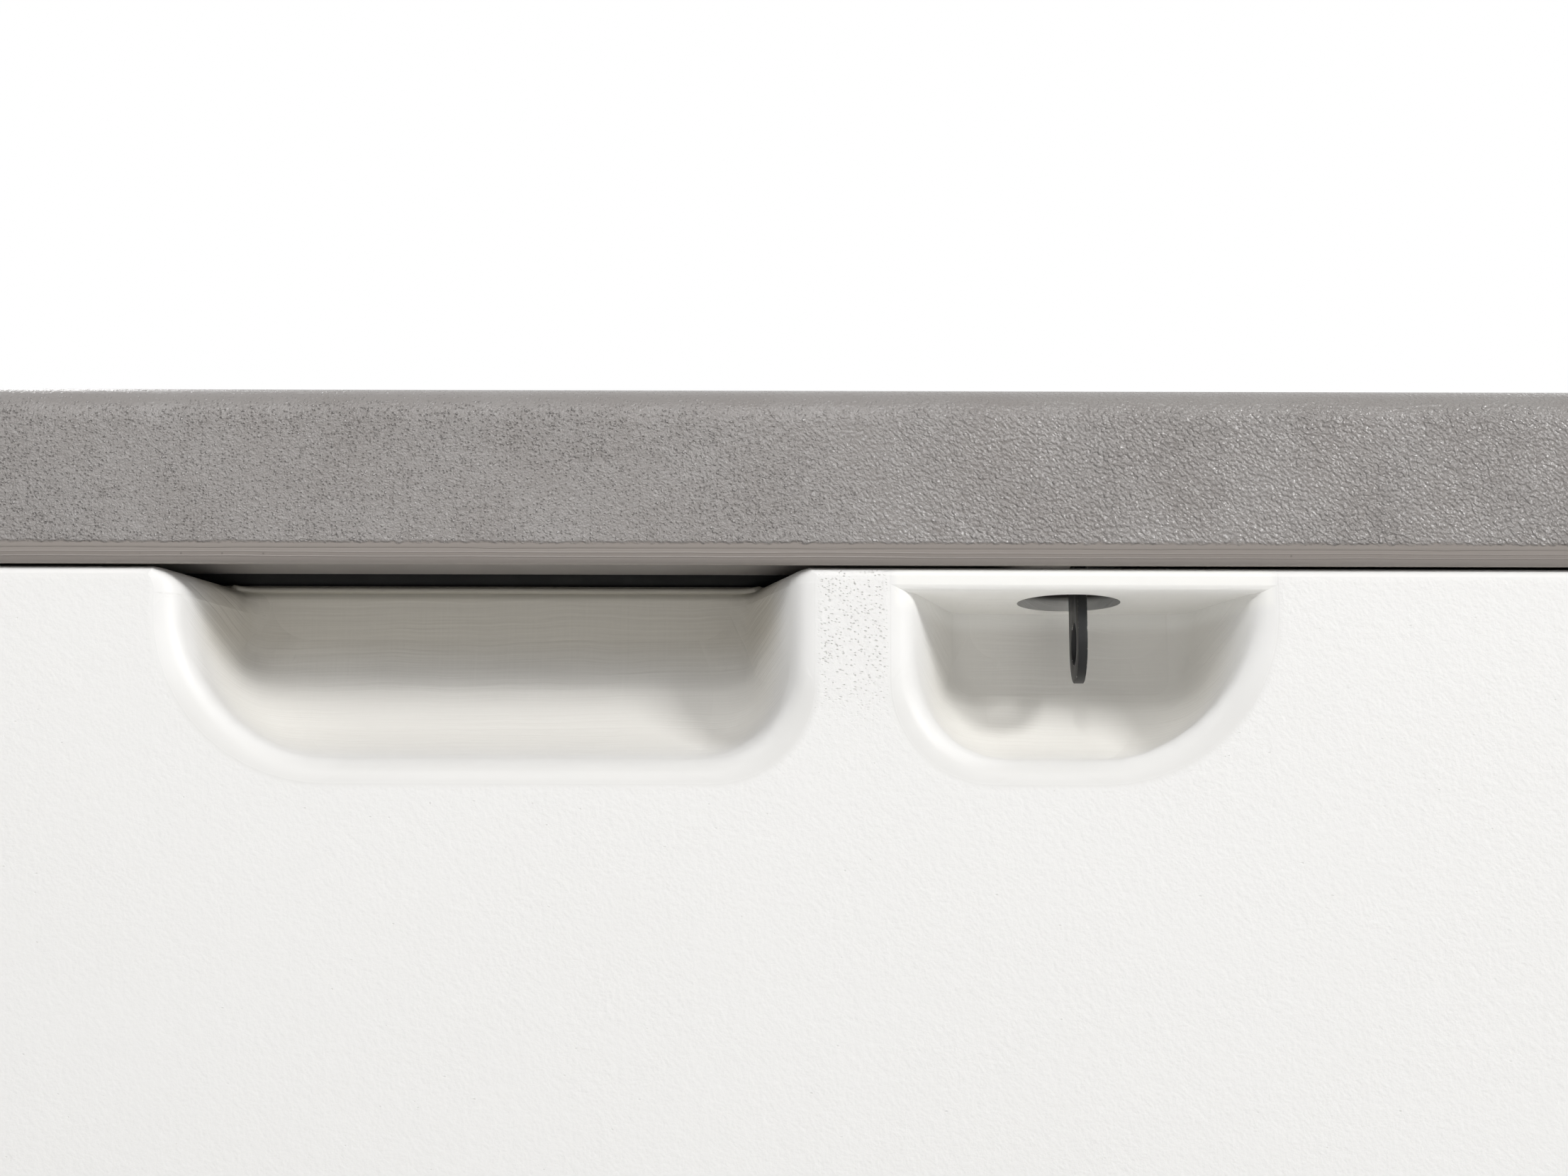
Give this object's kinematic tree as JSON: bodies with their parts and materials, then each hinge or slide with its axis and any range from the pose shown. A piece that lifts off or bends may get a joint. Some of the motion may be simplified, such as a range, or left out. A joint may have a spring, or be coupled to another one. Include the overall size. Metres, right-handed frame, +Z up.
{
  "type": "outdoor cushion storage box",
  "caption": "Outdoor storage box for cushions: moulded body with hand grip and padlock pockets in its front, hollow crowned lid on rear hinges, lock-eye, gas struts and rubber feet.",
  "frame": {"origin": "on the floor under the middle of the whole box, from the lid's front edge to the hinges", "axes": "+X along the box to the right as seen from its front, +Y from the front to the hinges, +Z up"},
  "size_m": [1.406, 0.7146, 0.629],
  "materials": {
    "body_plastic": "white polyethylene with a fine moulded grain",
    "lid_plastic": "taupe grey polyethylene with a coarse pebbled grain",
    "seal_rubber": "black extruded rubber",
    "black_steel": "black powder coat, chipped at the edges",
    "stainless": "brushed stainless steel",
    "strut_paint": "satin black paint",
    "rod_chrome": "polished",
    "socket_plastic": "black glass-filled nylon",
    "bracket_steel": "zinc plated",
    "foot_rubber": "moulded black rubber"
  },
  "bodies": {
    "body": {"body_shell": "body_plastic", "hinge_body_leaf_1": "stainless", "hinge_body_leaf_2": "stainless", "hinge_body_leaf_3": "stainless", "hinge_pin_1": "stainless", "hinge_pin_2": "stainless", "hinge_pin_3": "stainless", "hinge_backing_plates": "stainless", "hinge_bolts": "stainless", "hinge_nuts": "stainless", "body_bracket_left": "bracket_steel", "body_bracket_right": "bracket_steel", "body_ball_stud_left": "bracket_steel", "body_ball_stud_right": "bracket_steel", "body_bracket_screws": "stainless", "foot_1": "foot_rubber", "foot_2": "foot_rubber", "foot_3": "foot_rubber", "foot_4": "foot_rubber", "foot_bolts": "stainless", "foot_nuts": "stainless"},
    "lid": {"lid_shell": "lid_plastic", "lid_vent_plug": "lid_plastic", "lid_seal": "seal_rubber", "lock_eye": "black_steel", "lock_eye_screws": "black_steel", "hinge_lid_leaf_1": "stainless", "hinge_lid_leaf_2": "stainless", "hinge_lid_leaf_3": "stainless", "hinge_lid_screws": "stainless", "lid_bracket_left": "bracket_steel", "lid_bracket_right": "bracket_steel", "lid_ball_stud_left": "bracket_steel", "lid_ball_stud_right": "bracket_steel", "lid_bracket_screws": "stainless"},
    "strut_rod_left": {"strut_rod_left": "rod_chrome", "strut_piston_left": "socket_plastic", "strut_lower_socket_left": "socket_plastic"},
    "strut_tube_left": {"strut_tube_left": "strut_paint", "strut_guide_left": "socket_plastic", "strut_upper_socket_left": "socket_plastic"},
    "strut_rod_right": {"strut_rod_right": "rod_chrome", "strut_piston_right": "socket_plastic", "strut_lower_socket_right": "socket_plastic"},
    "strut_tube_right": {"strut_tube_right": "strut_paint", "strut_guide_right": "socket_plastic", "strut_upper_socket_right": "socket_plastic"}
  },
  "joints": [
    {"name": "lid_hinge", "type": "hinge", "parent": "body", "child": "lid", "pos_m": [0, 0.35175, 0.56235], "axis": [-1, 0, 0], "range_deg": [0, 75]},
    {"name": "strut_lower_left", "type": "hinge", "parent": "body", "child": "strut_rod_left", "pos_m": [-0.636, 0.274, 0.31183], "axis": [-1, 0, 0], "range_deg": [0, 37.5]},
    {"name": "strut_upper_left", "type": "hinge", "parent": "lid", "child": "strut_tube_left", "pos_m": [-0.636, 0.0898, 0.54862], "axis": [-1, 0, 0], "range_deg": [-37.5, 0]},
    {"name": "strut_lower_right", "type": "hinge", "parent": "body", "child": "strut_rod_right", "pos_m": [0.636, 0.274, 0.31183], "axis": [-1, 0, 0], "range_deg": [0, 37.5]},
    {"name": "strut_upper_right", "type": "hinge", "parent": "lid", "child": "strut_tube_right", "pos_m": [0.636, 0.0898, 0.54862], "axis": [-1, 0, 0], "range_deg": [-37.5, 0]}
  ],
  "couplings": [
    {"joint": "strut_lower_left", "follows": "lid_hinge", "ratio": 0.5},
    {"joint": "strut_upper_left", "follows": "lid_hinge", "ratio": -0.5},
    {"joint": "strut_lower_right", "follows": "lid_hinge", "ratio": 0.5},
    {"joint": "strut_upper_right", "follows": "lid_hinge", "ratio": -0.5}
  ]
}
